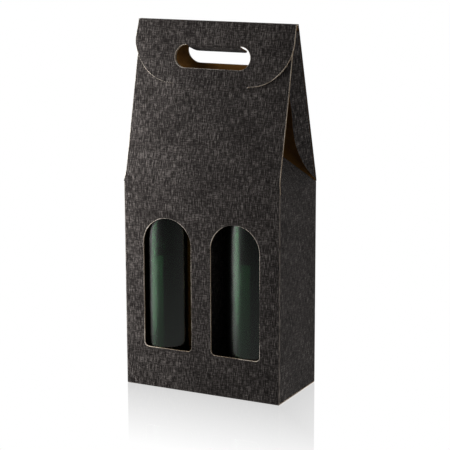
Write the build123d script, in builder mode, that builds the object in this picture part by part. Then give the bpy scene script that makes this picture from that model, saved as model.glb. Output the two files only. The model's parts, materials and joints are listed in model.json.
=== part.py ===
from build123d import *
import os
from math import asin, atan2, cos, degrees, hypot, radians, sin, tan

# Two-bottle gift carrier folded from one sheet of fine corrugated board.
# Millimetres. X runs across the front, the front faces -Y, Z is up, and the
# origin is the middle of the footprint on the floor.

# Carton body
body_width = 180.0
body_depth = 90.0
gable_rise = 166.0
board = 1.5
corner_radius = 1.8

# Clearances
crease_gap = 0.3
layer_gap = 0.1
flap_play = 0.4

# Windows in the front wall
window_width = 56.0
window_height = 140.0
window_sill = 43.5
window_corner = 5.0
mullion = 22.6

# Ridge strip that joins the rear gable to the closing flap
ridge_offset = -5.6
ridge_depth = 5.6

# Closing flap, measured down its slope from the ridge
flap_length = 64.8
flap_corner = 46.0

# Handle slots, the rear one narrower, measured down the slope from the ridge
slot_width = 86.0
slot_height = 24.0
slot_drop = 24.7
rear_slot_width = 78.0
rear_slot_drop = 22.7
gable_top_drop = 12.0

# How far the front gable's cut edges step in from the corners, and over what height
gable_inset = 1.75
gable_inset_rise = 12.0

# Handle tab that is pushed in through the slots
tab_length = 20.0
tab_side_gap = 1.0
tab_corner = 5.0
tab_angle = 85.0

# Tongue of the closing flap and its slit in the front gable
tongue_length = 14.0
tongue_side_gap = 1.0
tongue_corner = 9.0
tongue_lean = 6.0
slit_side_gap = 1.5
slit_above = 0.9
slit_below = 1.2

# Wings folded in along the sloping edges of the rear gable
wing_angle = 30.0
wing_width = 21.0
wing_foot = 4.0
wing_belly = (14.5, 26.0)
wing_straight = 78.0
wing_tip = 2.0
wing_top_clear = 2.0

# Dust flaps folded in from the tops of the side walls
dust_angle = 35.0
dust_length = 41.0
dust_front_taper = 17.0
dust_rear_taper = 45.0
dust_inset = 1.2
dust_corner = 7.0

# Bottom flaps
bottom_inset = 0.8
bottom_round = 1.2
side_flap_length = 60.0
side_flap_corner = 12.0
lock_step = 20.0
lock_shift = 12.0
seam_gap = 0.6

# Glue flap and divider
glue_flap_width = 16.0
glue_flap_clear = 3.0
glue_flap_bevel = 6.0
divider_height = 205.0
divider_front_gap = 2.0
divider_foot = 30.0
divider_corner = 8.0

# Bottles, and how far the carton's walls rise above their straight bodies
shoulder_above_body = 26.0
bottle_radius = 37.5
bottle_side_gap = 0.4
bottle_front_gap = 0.4
bottle_body_height = 190.0
bottle_heel_radius = 5.0
bottle_shoulder_height = 44.0
bottle_shoulder_radius = 33.0
bottle_neck_height = 66.0
bottle_neck_radius = 14.2
bottle_lip_radius = 15.0
bottle_lip_height = 9.0
bottle_wall = 3.0
bottle_bore_radius = 9.4
lip_round = 1.0
punt_depth = 22.0
punt_radius = 24.0
ullage = 8.0
cork_length = 44.0
cork_recess = 2.0
cork_bevel = 0.8

# Tilts of the two gables, from the vertical
half_width = body_width / 2
half_depth = body_depth / 2
shoulder_height = 2 * board + bottle_body_height + shoulder_above_body
total_height = shoulder_height + gable_rise
ridge_front = ridge_offset - ridge_depth / 2
ridge_rear = ridge_offset + ridge_depth / 2
front_run = half_depth + ridge_front
rear_run = half_depth - ridge_rear
flap_offset = board + flap_play
front_tilt = degrees(atan2(front_run, gable_rise) + asin(flap_offset / hypot(front_run, gable_rise)))
rear_tilt = degrees(atan2(rear_run, gable_rise))
front_slope = gable_rise / cos(radians(front_tilt))
rear_slope = hypot(rear_run, gable_rise)
front_fold = board * tan(radians(front_tilt))
rear_fold = board * tan(radians(rear_tilt))

# Planes that lie on the outer faces; their local Y runs up the slope, or down it for the flap
sin_front = sin(radians(front_tilt))
cos_front = cos(radians(front_tilt))
sin_rear = sin(radians(rear_tilt))
cos_rear = cos(radians(rear_tilt))
front_face = Plane((0, -half_depth, 0), x_dir=(1, 0, 0), z_dir=(0, -1, 0))
front_gable_face = Plane((0, -half_depth, shoulder_height), x_dir=(1, 0, 0), z_dir=(0, -cos_front, sin_front))
rear_gable_face = Plane((0, half_depth, shoulder_height), x_dir=(-1, 0, 0), z_dir=(0, cos_rear, sin_rear))
flap_face = Plane((0, ridge_front, total_height), x_dir=(1, 0, 0), z_dir=(0, -cos_front, sin_front))

# Distances along the slopes
ridge_fold = board * cos_front + crease_gap
front_top = front_slope - gable_top_drop
slot_middle = slot_drop + slot_height / 2
front_slot_level = front_slope - slot_middle
rear_slot_level = rear_slope - rear_slot_drop - slot_height / 2
slit_low = front_slope - flap_length - slit_below
slit_high = front_slope - flap_length + board + slit_above
slit_width = 2 * (half_width - flap_corner) + 2 * slit_side_gap - 2 * tongue_side_gap

os.makedirs("parts", exist_ok=True)


def save(part, name):
    part.label = name
    export_step(part, f"parts/{name}.step")


def wall_ring(foot, top):
    """The four walls as one ring, from the height foot to the height top."""
    with BuildPart(Plane.XY.offset(foot)) as ring:
        with BuildSketch(Plane.XY.offset(foot)):
            RectangleRounded(body_width, body_depth, corner_radius)
            Rectangle(body_width - 2 * board, body_depth - 2 * board, mode=Mode.SUBTRACT)
        extrude(amount=top - foot)
    return ring.part


def long_sector(side, foot, top):
    """Everything nearer to a long wall than to its neighbours; side is -1 in front, 1 behind."""
    reach = half_depth + board
    with BuildPart() as sector:
        with BuildSketch(Plane.XY.offset(foot)):
            with BuildLine():
                Polyline(
                    (-half_width - board, side * reach),
                    (half_width + board, side * reach),
                    (half_width - half_depth, 0),
                    (half_depth - half_width, 0),
                    close=True,
                )
            make_face()
        extrude(amount=top - foot)
    return sector.part


def short_sector(side, foot, top):
    """Everything nearer to a short wall than to its neighbours; side is 1 at +X."""
    reach = half_depth + board
    with BuildPart() as sector:
        with BuildSketch(Plane.XY.offset(foot)):
            with BuildLine():
                Polyline(
                    (side * (half_width + board), -reach),
                    (side * (half_width + board), reach),
                    (side * (half_width - half_depth), 0),
                    close=True,
                )
            make_face()
        extrude(amount=top - foot)
    return sector.part


# Front wall with its two arched windows
wall_top = shoulder_height - crease_gap
window_centre = (mullion + window_width) / 2
arch_radius = window_width / 2
arch_spring = window_sill + window_height - arch_radius
with BuildPart() as front_wall:
    add(wall_ring(board, wall_top))
    add(long_sector(-1, board, wall_top), mode=Mode.INTERSECT)
    with BuildSketch(front_face):
        for side in (-1, 1):
            with Locations((side * window_centre, (window_sill + arch_spring) / 2)):
                Rectangle(window_width, arch_spring - window_sill)
            with Locations((side * window_centre, arch_spring)):
                Circle(arch_radius)
    extrude(amount=-board, mode=Mode.SUBTRACT)
    sill_edges = front_wall.edges().filter_by(Axis.Y).filter_by(lambda e: abs(e.center().Z - window_sill) < 0.01)
    fillet(sill_edges, radius=window_corner)
save(front_wall.part, "front_wall")

# Rear wall
with BuildPart() as rear_wall:
    add(wall_ring(board, wall_top))
    add(long_sector(1, board, wall_top), mode=Mode.INTERSECT)
save(rear_wall.part, "rear_wall")

# Side walls, which start above their own bottom flaps
for side, name in ((-1, "left_side_wall"), (1, "right_side_wall")):
    with BuildPart() as side_wall:
        add(wall_ring(2 * board, wall_top))
        add(short_sector(side, 2 * board, wall_top), mode=Mode.INTERSECT)
    save(side_wall.part, name)

# Front gable with its handle slot and the slit for the tongue
with BuildPart() as front_gable:
    with BuildSketch(front_gable_face):
        with BuildLine():
            gable_half = half_width - gable_inset
            Polyline(
                (-half_width, front_fold),
                (half_width, front_fold),
                (gable_half, gable_inset_rise),
                (gable_half, front_top),
                (-gable_half, front_top),
                (-gable_half, gable_inset_rise),
                close=True,
            )
        make_face()
        with Locations((0, front_slot_level)):
            SlotOverall(slot_width, slot_height, mode=Mode.SUBTRACT)
        with Locations((0, (slit_low + slit_high) / 2)):
            Rectangle(slit_width, slit_high - slit_low, mode=Mode.SUBTRACT)
    extrude(amount=-board)
save(front_gable.part, "front_gable")

# Rear gable with its handle slot
rear_top = rear_slope - board * cos_rear - crease_gap
with BuildPart() as rear_gable:
    with BuildSketch(rear_gable_face):
        with Locations((0, (rear_fold + rear_top) / 2)):
            Rectangle(body_width, rear_top - rear_fold)
        with Locations((0, rear_slot_level)):
            SlotOverall(rear_slot_width, slot_height, mode=Mode.SUBTRACT)
    extrude(amount=-board)
save(rear_gable.part, "rear_gable")

# Ridge strip between the two top creases
with BuildPart() as ridge_strip:
    with BuildSketch(Plane.XY.offset(total_height)):
        with Locations((0, ridge_offset)):
            Rectangle(body_width, ridge_depth)
    extrude(amount=-board)
save(ridge_strip.part, "ridge_strip")

# Closing flap, round at its lower corners, with its handle slot
with BuildPart() as closing_flap:
    with BuildSketch(flap_face):
        with BuildLine():
            lower_left = (-half_width + flap_corner, -flap_length)
            lower_right = (half_width - flap_corner, -flap_length)
            Line((-half_width, -ridge_fold), (half_width, -ridge_fold))
            Line((half_width, -ridge_fold), (half_width, flap_corner - flap_length))
            RadiusArc((half_width, flap_corner - flap_length), lower_right, flap_corner)
            Line(lower_right, lower_left)
            RadiusArc(lower_left, (-half_width, flap_corner - flap_length), flap_corner)
            Line((-half_width, flap_corner - flap_length), (-half_width, -ridge_fold))
        make_face()
        with Locations((0, -slot_middle)):
            SlotOverall(slot_width, slot_height, mode=Mode.SUBTRACT)
    extrude(amount=-board)
save(closing_flap.part, "closing_flap")

# Handle tab, hinged at the top of the flap's slot and pushed inwards through the gables
tab_width = slot_width - slot_height - 2 * tab_side_gap
tab_lean = radians(tab_angle - front_tilt)
tab_hinge = flap_face.from_local_coords((0, -slot_drop - crease_gap, -board))
tab_face = Plane(tab_hinge, x_dir=(1, 0, 0), z_dir=(0, -cos(tab_lean), -sin(tab_lean)))
with BuildPart() as handle_tab:
    with BuildSketch(tab_face):
        with Locations((0, -tab_length / 2)):
            Rectangle(tab_width, tab_length)
        fillet(vertices().group_by(Axis.Y)[0], radius=tab_corner)
    extrude(amount=board)
save(handle_tab.part, "handle_tab")

# Tongue, folded in from the lower edge of the flap and tucked into the slit
tongue_width = 2 * (half_width - flap_corner - tongue_side_gap)
tongue_turn = radians(90 + tongue_lean - front_tilt)
tongue_inset = board + crease_gap + board * sin(radians(tongue_lean))
tongue_root = flap_face.from_local_coords((0, -flap_length, -tongue_inset))
tongue_face = Plane(tongue_root, x_dir=(1, 0, 0), z_dir=(0, -cos(tongue_turn), -sin(tongue_turn)))
with BuildPart() as tuck_tongue:
    with BuildSketch(tongue_face):
        with Locations((0, -tongue_length / 2)):
            Rectangle(tongue_width, tongue_length)
        fillet(vertices().group_by(Axis.Y)[0], radius=tongue_corner)
    extrude(amount=-board)
save(tuck_tongue.part, "tuck_tongue")

# Wings, narrow strips folded in along the sloping edges of the rear gable
wing_fold = radians(90 + wing_angle)
wing_start = (board + crease_gap - board * cos(wing_fold)) / sin(wing_fold)
wing_forward = cos(radians(wing_angle)) * cos_rear
wing_down = cos(radians(wing_angle)) * sin_rear


def wing_reach(width):
    """How far up the rear slope a wing of this width stays clear of the front gable as it swings."""
    front_slant = tan(radians(front_tilt))
    room = body_depth - board / cos_front - wing_top_clear - width * (cos_rear - front_slant * sin_rear)
    return room / (sin_rear + front_slant * cos_rear)


for side, name in ((-1, "left_wing"), (1, "right_wing")):
    across = Vector(-side * sin(radians(wing_angle)), -wing_forward, -wing_down)
    along = Vector(0, -sin_rear, cos_rear)
    wing_face = Plane((side * half_width, half_depth, shoulder_height), x_dir=across, z_dir=across.cross(along))
    with BuildPart() as wing:
        with BuildSketch(wing_face):
            with BuildLine():
                foot = (wing_start, wing_foot)
                bend = (wing_width, wing_straight)
                upper = (wing_width, wing_reach(wing_width))
                peak = (wing_start + wing_tip, wing_reach(wing_start + wing_tip))
                ThreePointArc(foot, wing_belly, bend)
                Polyline(bend, upper, peak, (wing_start, peak[1]), foot)
            make_face()
        extrude(amount=side * board)
    save(wing.part, name)

# Dust flaps, folded in from the tops of the side walls under the wings
dust_fold = board * tan(radians(dust_angle))
dust_half = half_depth - board - dust_inset
for side, name in ((-1, "left_dust_flap"), (1, "right_dust_flap")):
    lean = radians(dust_angle)
    dust_face = Plane(
        (side * half_width, 0, shoulder_height), x_dir=(0, 1, 0), z_dir=(cos(lean), 0, side * sin(lean))
    )
    rise = dust_length - dust_fold
    with BuildPart() as dust_flap:
        with BuildSketch(dust_face):
            with BuildLine():
                Polyline(
                    (-dust_half, dust_fold),
                    (dust_half, dust_fold),
                    (dust_half - rise * tan(radians(dust_rear_taper)), dust_length),
                    (-dust_half + rise * tan(radians(dust_front_taper)), dust_length),
                    close=True,
                )
            make_face()
            fillet(vertices().group_by(Axis.Y)[-1], radius=dust_corner)
        extrude(amount=-side * board)
    save(dust_flap.part, name)

# Outer bottom flaps: two alike, turned half round, that hook into each other along a stepped seam
flap_half = half_width - bottom_inset
for turn, name in ((1, "front_bottom_flap"), (-1, "rear_bottom_flap")):
    outline = (
        (-flap_half, -half_depth),
        (flap_half, -half_depth),
        (flap_half, lock_shift - seam_gap / 2),
        (lock_step, lock_shift - seam_gap / 2),
        (-lock_step, -lock_shift - seam_gap / 2),
        (-flap_half, -lock_shift - seam_gap / 2),
    )
    with BuildPart() as bottom_flap:
        with BuildSketch():
            with BuildLine():
                Polyline([(turn * x, turn * y) for x, y in outline], close=True)
            make_face()
        extrude(amount=board)
        fold_edge = bottom_flap.edges().group_by(Axis.Z)[0].sort_by(Axis.Y)[0 if turn > 0 else -1]
        fillet(fold_edge, radius=bottom_round)
    save(bottom_flap.part, name)

# Inner bottom flaps, folded in from the side walls on top of the outer ones
for side, name in ((-1, "left_bottom_flap"), (1, "right_bottom_flap")):
    with BuildPart() as inner_flap:
        with BuildSketch(Plane.XY.offset(board)):
            with Locations((side * (half_width - side_flap_length / 2), 0)):
                Rectangle(side_flap_length, body_depth - 2 * board - 2 * layer_gap)
            chamfer(vertices().group_by(Axis.X)[0 if side > 0 else -1], length=side_flap_corner)
        extrude(amount=board)
    save(inner_flap.part, name)

# Glue flap of the left side wall, stuck to the inside of the rear wall
glue_foot = 2 * board + glue_flap_clear
glue_top = wall_top - glue_flap_clear
with BuildPart() as glue_flap:
    with BuildSketch(Plane.XY.offset(glue_foot)):
        with Locations((-half_width + board + glue_flap_width / 2, half_depth - 1.5 * board)):
            Rectangle(glue_flap_width, board)
    extrude(amount=glue_top - glue_foot)
    far_edges = glue_flap.edges().filter_by(Axis.Y).group_by(Axis.X)[-1]
    chamfer(far_edges, length=glue_flap_bevel)
save(glue_flap.part, "glue_flap")

# Divider between the bottles, an angle whose foot is stuck to the rear wall
divider_rear = half_depth - board
divider_front = -half_depth + board + divider_front_gap
with BuildPart() as bottle_divider:
    with BuildSketch(Plane.XY.offset(board)):
        with Locations((0, (divider_front + divider_rear) / 2)):
            Rectangle(board, divider_rear - divider_front)
        with Locations((divider_foot / 2 - board / 2, divider_rear - board / 2)):
            Rectangle(divider_foot, board)
    extrude(amount=divider_height - board)
    front_corner = bottle_divider.edges().filter_by(Axis.X).group_by(Axis.Y)[0].sort_by(Axis.Z)[-1]
    fillet(front_corner, radius=divider_corner)
save(bottle_divider.part, "bottle_divider")

# Bottles: glass, wine and cork, each standing on the inner bottom flaps in the cell's outer front corner
bottle_foot = 2 * board
shoulder_end = bottle_body_height + bottle_shoulder_height
bottle_height = shoulder_end + bottle_neck_height
lip_foot = bottle_height - bottle_lip_height
fill_level = bottle_height - cork_recess - cork_length - ullage
bottle_x = half_width - board - bottle_side_gap - bottle_radius
bottle_y = -half_depth + board + bottle_front_gap + bottle_radius


def bottle_outline(skin):
    """Closed half section of the bottle up to its neck, taken in by the thickness skin."""
    body = bottle_radius - skin
    neck = bottle_bore_radius if skin else bottle_neck_radius
    foot = skin
    heel = bottle_heel_radius
    apex = (0, foot + punt_depth)
    round_radius = bottle_shoulder_radius - skin
    both_radii = ((body - neck) ** 2 + bottle_shoulder_height**2) / (2 * (body - neck))
    share = round_radius / both_radii
    meet = (
        body - round_radius + share * (neck + both_radii - body),
        bottle_body_height + share * bottle_shoulder_height,
    )
    Polyline(apex, (0, shoulder_end), (neck, shoulder_end))
    lower_arc = TangentArc((body, bottle_body_height), meet, tangent=(0, 1))
    TangentArc(meet, (neck, shoulder_end), tangent=lower_arc % 1)
    Line((body, bottle_body_height), (body, foot + heel))
    TangentArc((body, foot + heel), (body - heel, foot), tangent=(0, -1))
    Line((body - heel, foot), (punt_radius, foot))
    TangentArc(apex, (punt_radius, foot), tangent=(1, 0))


for side, name in ((-1, "left"), (1, "right")):
    stand = Plane((side * bottle_x, bottle_y, bottle_foot), x_dir=(1, 0, 0), z_dir=(0, -1, 0))
    axis = Axis((side * bottle_x, bottle_y, 0), (0, 0, 1))

    with BuildPart() as bottle:
        with BuildSketch(stand):
            with BuildLine():
                bottle_outline(0)
            make_face()
            with Locations((bottle_neck_radius / 2, (shoulder_end + bottle_height) / 2)):
                Rectangle(bottle_neck_radius, bottle_height - shoulder_end)
            with Locations((bottle_lip_radius / 2, (lip_foot + bottle_height) / 2)):
                Rectangle(bottle_lip_radius, bottle_lip_height)
        revolve(axis=axis)
        with BuildSketch(stand):
            with BuildLine():
                bottle_outline(bottle_wall)
            make_face()
            with Locations((bottle_bore_radius / 2, (shoulder_end + bottle_height) / 2)):
                Rectangle(bottle_bore_radius, bottle_height - shoulder_end)
        revolve(axis=axis, mode=Mode.SUBTRACT)
        fillet(bottle.edges().filter_by(GeomType.CIRCLE).group_by(Axis.Z)[-1], radius=lip_round)
    save(bottle.part, f"{name}_bottle")

    with BuildPart() as wine:
        with BuildSketch(stand):
            with BuildLine():
                bottle_outline(bottle_wall)
            make_face()
            with Locations((bottle_bore_radius / 2, (shoulder_end + fill_level) / 2)):
                Rectangle(bottle_bore_radius, fill_level - shoulder_end)
        revolve(axis=axis)
    save(wine.part, f"{name}_wine")

    with BuildPart() as cork:
        cork_middle = bottle_foot + bottle_height - cork_recess - cork_length / 2
        with Locations((side * bottle_x, bottle_y, cork_middle)):
            Cylinder(bottle_bore_radius, cork_length)
        chamfer(cork.edges().filter_by(GeomType.CIRCLE), length=cork_bevel)
    save(cork.part, f"{name}_cork")
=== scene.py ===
"""Two-bottle wine carrier of linen-printed board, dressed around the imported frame.

Metres, +Z up, the front faces -Y. Each board is a slab worked out in its own sheet coordinates: x runs
across the sheet, y up it, and depth from the printed face to the brown one.
"""

import json
from cmath import phase
from math import asin, atan2, cos, degrees, hypot, pi, radians, sin, tan

import bpy
import numpy as np
from mathutils import Matrix, Vector


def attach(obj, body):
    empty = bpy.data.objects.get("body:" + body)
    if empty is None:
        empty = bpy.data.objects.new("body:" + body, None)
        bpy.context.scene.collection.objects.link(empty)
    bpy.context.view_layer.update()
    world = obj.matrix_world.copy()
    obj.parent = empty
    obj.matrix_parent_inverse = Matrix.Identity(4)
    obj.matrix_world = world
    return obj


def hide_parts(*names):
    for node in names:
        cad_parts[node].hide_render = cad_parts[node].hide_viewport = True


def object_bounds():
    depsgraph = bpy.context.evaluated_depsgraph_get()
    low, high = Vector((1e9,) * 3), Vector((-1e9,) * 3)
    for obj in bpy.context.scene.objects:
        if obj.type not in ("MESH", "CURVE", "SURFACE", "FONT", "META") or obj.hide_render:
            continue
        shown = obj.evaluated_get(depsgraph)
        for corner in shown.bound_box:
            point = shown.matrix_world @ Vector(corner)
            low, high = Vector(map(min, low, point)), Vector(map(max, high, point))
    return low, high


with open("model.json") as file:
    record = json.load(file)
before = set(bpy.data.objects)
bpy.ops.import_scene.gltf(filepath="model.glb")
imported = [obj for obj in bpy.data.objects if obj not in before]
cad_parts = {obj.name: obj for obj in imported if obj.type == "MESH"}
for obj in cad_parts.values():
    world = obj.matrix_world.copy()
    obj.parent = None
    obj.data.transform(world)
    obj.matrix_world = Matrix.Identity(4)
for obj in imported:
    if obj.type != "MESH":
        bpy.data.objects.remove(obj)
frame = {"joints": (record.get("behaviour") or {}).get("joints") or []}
scene = bpy.context.scene
cad_box = [list(corner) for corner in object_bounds()]

MM = 0.001

# Places that the frame gives
half_width, half_depth, top = cad_box[1]
creases = {joint["name"]: np.array(joint["pos_m"]) for joint in frame["joints"]}
shoulder = creases["front_gable_crease"][2]
ridge_front = creases["flap_crease"][1]
ridge_rear = creases["ridge_crease"][1]
gable_rise = top - shoulder

# Board
thick = 1.5 * MM
flap_play = 0.4 * MM
corner_round = 1.8 * MM
cut_inset = 0.32 * MM
cut_drop = 0.1 * MM
fold_inset = 0.04 * MM
fold_gap = 0.005 * MM

# Windows
window_width = 56 * MM
window_sill = 43.5 * MM
window_height = 140 * MM
window_corner = 5 * MM
mullion = 22.6 * MM

# Closing flap, handle slots, tab, tongue and slit
flap_length = 64.8 * MM
flap_corner = 46 * MM
slot_width = 86 * MM
slot_height = 24 * MM
slot_drop = 24.7 * MM
rear_slot_width = 78 * MM
rear_slot_drop = 22.7 * MM
gable_top_drop = 12 * MM
gable_inset = 1.75 * MM
gable_inset_rise = 12 * MM
tab_length = 20 * MM
tab_corner = 5 * MM
tab_side_gap = 1 * MM
tab_angle = radians(85)
tongue_length = 14 * MM
tongue_corner = 9 * MM
tongue_side_gap = 1 * MM
tongue_lean = radians(6)
slit_side_gap = 0.5 * MM
slit_below = 1.2 * MM
slit_above = 0.9 * MM
fold_sag = 0.9 * MM

# Wings and dust flaps
wing_angle = radians(30)
wing_width = 21 * MM
wing_start = 1.6 * MM
wing_foot = 4.3 * MM
wing_belly = (14.5 * MM, 26 * MM)
wing_straight = 78 * MM
wing_tip = 2 * MM
wing_top_clear = 2 * MM
dust_angle = radians(35)
dust_length = 41 * MM
dust_front_taper = radians(17)
dust_rear_taper = radians(45)
dust_inset = 1.2 * MM
dust_corner = 7 * MM

# Bottom flaps, glue flap and divider
bottom_inset = 0.8 * MM
side_flap_length = 60 * MM
side_flap_corner = 12 * MM
lock_step = 20 * MM
lock_shift = 12 * MM
seam_gap = 0.6 * MM
glue_flap_width = 16 * MM
glue_flap_clear = 3 * MM
glue_flap_bevel = 6 * MM
divider_height = 205 * MM
divider_front_gap = 2 * MM
divider_foot = 30 * MM
divider_corner = 8 * MM

# Bottles
bottle_radius = 37.5 * MM
bottle_gap = 0.4 * MM
bottle_body_height = 190 * MM
bottle_heel = 5 * MM
bottle_shoulder_height = 44 * MM
bottle_shoulder_radius = 33 * MM
bottle_neck_height = 66 * MM
bottle_neck_radius = 14.2 * MM
bottle_lip_radius = 15 * MM
bottle_lip_height = 9 * MM
bottle_wall = 3 * MM
patch_sides = (-9.5 * MM, 5 * MM)
patch_top = 143 * MM
bottle_bore_radius = 9.4 * MM
lip_round = 1 * MM
punt_depth = 22 * MM
punt_radius = 24 * MM
wine_gap = 0.15 * MM
ullage = 8 * MM
cork_length = 44 * MM
cork_recess = 2 * MM
cork_bevel = 0.8 * MM

slot_straight = slot_width - slot_height
bottle_x = half_width - thick - bottle_gap - bottle_radius

# Where a wing's brown face begins, measured from its crease: there it meets the rear gable's brown face
wing_mitre = thick * (1 + sin(wing_angle)) / cos(wing_angle)

# Slopes of the gables, as angles from the vertical
front_run = half_depth + ridge_front
rear_run = half_depth - ridge_rear
front_tilt = atan2(front_run, gable_rise) + asin((thick + flap_play) / hypot(front_run, gable_rise))
rear_tilt = atan2(rear_run, gable_rise)
front_slope = gable_rise / cos(front_tilt)
rear_slope = hypot(rear_run, gable_rise)

ACROSS = np.array((1.0, 0.0, 0.0))
BACKWARDS = np.array((0.0, 1.0, 0.0))
UP = np.array((0.0, 0.0, 1.0))
SIDES = ((-1, "left"), (1, "right"))


def bell(distance, width):
    """exp(-(distance / width)^2)"""
    return np.exp(-((distance / width) ** 2))


# Outlines in sheet coordinates

def arc(centre, radius, start, end, count=12):
    """Points centre + radius * (cos a, sin a) for angles from start to end, in degrees."""
    angle = np.radians(np.linspace(start, end, count))
    return np.column_stack((centre[0] + radius * np.cos(angle), centre[1] + radius * np.sin(angle)))


def line(start, end, step=6 * MM):
    """Evenly spaced points from start to end, at most a step apart."""
    start, end = np.array(start, float), np.array(end, float)
    count = max(2, int(np.ceil(np.linalg.norm(end - start) / step)) + 1)
    return start + np.linspace(0, 1, count)[:, None] * (end - start)


def path(*pieces):
    """The pieces end to end, without the points that repeat."""
    points = np.vstack(pieces)
    keep = np.r_[True, np.linalg.norm(np.diff(points, axis=0), axis=1) > 1e-9]
    return points[keep]


def joined(first, last):
    """Two arcs with the straight line between them."""
    return path(first, line(first[-1], last[0]), last)


def shares(points):
    """How far along a path each of its points lies, from 0 to 1."""
    steps = np.linalg.norm(np.diff(points, axis=0), axis=1)
    return np.r_[0, np.cumsum(steps)] / max(steps.sum(), 1e-12)


def at_shares(points, wanted):
    """The points of a path at the wanted shares of its length."""
    own = shares(points)
    return np.column_stack([np.interp(wanted, own, values) for values in points.T])


def merged(*sets):
    """All shares of several sets in order, those closer than a thousandth taken once."""
    everything = np.sort(np.concatenate(sets))
    keep = np.r_[True, np.diff(everything) > 1e-3]
    keep[-1] = True
    result = everything[keep]
    result[0], result[-1] = 0.0, 1.0
    return result


RING_ROWS = np.array((0, 0.02, 0.08, 0.25, 0.5, 0.75, 0.88, 0.93, 0.955, 0.975, 0.99, 1.0))


def ring(hole, border, extra=None, rows=RING_ROWS):
    """Grid between a hole and a border, each given as matching stretches:
    point(row, column) = hole(column) + row share * (border(column) - hole(column))."""
    inner, outer = [], []
    for index, (edge, rim) in enumerate(zip(hole, border)):
        wanted = merged(shares(edge), shares(rim), *((extra or {}).get(index, ())))
        inner.append(at_shares(edge, wanted))
        outer.append(at_shares(rim, wanted))
    inner, outer = np.vstack(inner), np.vstack(outer)
    return inner[None] + rows[:, None, None] * (outer - inner)[None]


def strip(x_values, y_values):
    """Plain grid of rows and columns."""
    x, y = np.meshgrid(x_values, y_values)
    return np.stack((x, y), axis=-1)


SPAN_ROWS = np.array((0, 0.03, 0.08, 0.2, 0.35, 0.5, 0.65, 0.8, 0.92, 0.97, 1.0))


def spanned(near_side, far_side, rows=SPAN_ROWS):
    """Grid between two paths that face each other."""
    return ring([near_side], [far_side], rows=rows)


def columned(x_values, low, high, rows=SPAN_ROWS):
    """Grid of upright columns: y = low(x) + row share * (high(x) - low(x))."""
    low, high = low + 0 * x_values, high + 0 * x_values
    y = low[None] + rows[:, None] * (high - low)[None]
    return np.stack((x_values[None] + 0 * y, y), axis=-1)


def arc_through(start, middle, end, count=18):
    """Points of the circular arc that runs from start through middle to end."""
    a, b, c = complex(*start), complex(*middle), complex(*end)
    ratio = (c - a) / (b - a)
    centre = a + (b - a) * (ratio - abs(ratio) ** 2) / (2j * ratio.imag)
    first, last = degrees(phase(a - centre)), degrees(phase(c - centre))
    return arc((centre.real, centre.imag), abs(a - centre), first, last, count)


# Boards

def flat(origin, across, up):
    """Places sheet points on a plane: origin + x * across + y * up - depth * outward."""
    outward = np.cross(across, up)

    def place(x, y, depth):
        return origin + x[:, None] * across + y[:, None] * up - depth[:, None] * outward

    return place


def wrapped(origin, across, up, flat_half):
    """Like flat, but past x = +-flat_half the sheet bends inwards round a corner of corner_round."""
    outward = np.cross(across, up)

    def place(x, y, depth):
        side = np.sign(x)
        angle = np.clip(np.abs(x) - flat_half, 0, None) / corner_round
        reach = np.minimum(np.abs(x), flat_half) + (corner_round - depth) * np.sin(angle)
        sunk = corner_round - (corner_round - depth) * np.cos(angle)
        return origin + (side * reach)[:, None] * across + y[:, None] * up - sunk[:, None] * outward

    return place


def grid_faces(rows, columns, first):
    """Four corners of each cell of a grid whose points are numbered from first."""
    index = first + np.arange(rows * columns).reshape(rows, columns)
    corners = (index[:-1, :-1], index[:-1, 1:], index[1:, 1:], index[1:, :-1])
    return np.column_stack([corner.ravel() for corner in corners])


def weld(cells):
    """Points and faces of several grids, points at one place joined and every face turned outwards."""
    points, faces, first = [], [], 0
    for cell in cells:
        points.append(cell.reshape(-1, 2))
        faces.append(grid_faces(*cell.shape[:2], first))
        first += cell.shape[0] * cell.shape[1]
    points, faces = np.vstack(points), np.vstack(faces)
    keys = np.round(points / (2e-3 * MM)).astype(np.int64)
    _, chosen, back = np.unique(keys, axis=0, return_index=True, return_inverse=True)
    points, faces = points[chosen], back.ravel()[faces]
    x, y = points[faces, 0], points[faces, 1]
    area = (x * np.roll(y, -1, 1) - np.roll(x, -1, 1) * y).sum(1) / 2
    faces[area < 0] = faces[area < 0][:, ::-1]
    return points, faces[np.abs(area) > 1e-12]


def edge_codes(faces, count):
    """Each face's sides as one number for start and end, and the same for the way back."""
    start, end = faces.ravel(), np.roll(faces, -1, 1).ravel()
    return start * count + end, end * count + start


PRINTED, RAW, BROWN, WORN = range(4)


def fold(test, back=0.0, wear=0.0, kind=BROWN):
    """Edges for which test(x, y) is true are treated as running into a fold; cut edges given here are
    painted dark as shade. The brown face ends back short of them, the print on them is worn by this share,
    and their side takes this kind of surface."""
    return test, back, wear, kind


def near(value, target):
    return np.abs(value - target) < 0.02 * MM


def fold_at(level, **looks):
    """A fold along y = level."""
    return fold(lambda x, y: near(y, level), **looks)


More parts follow.
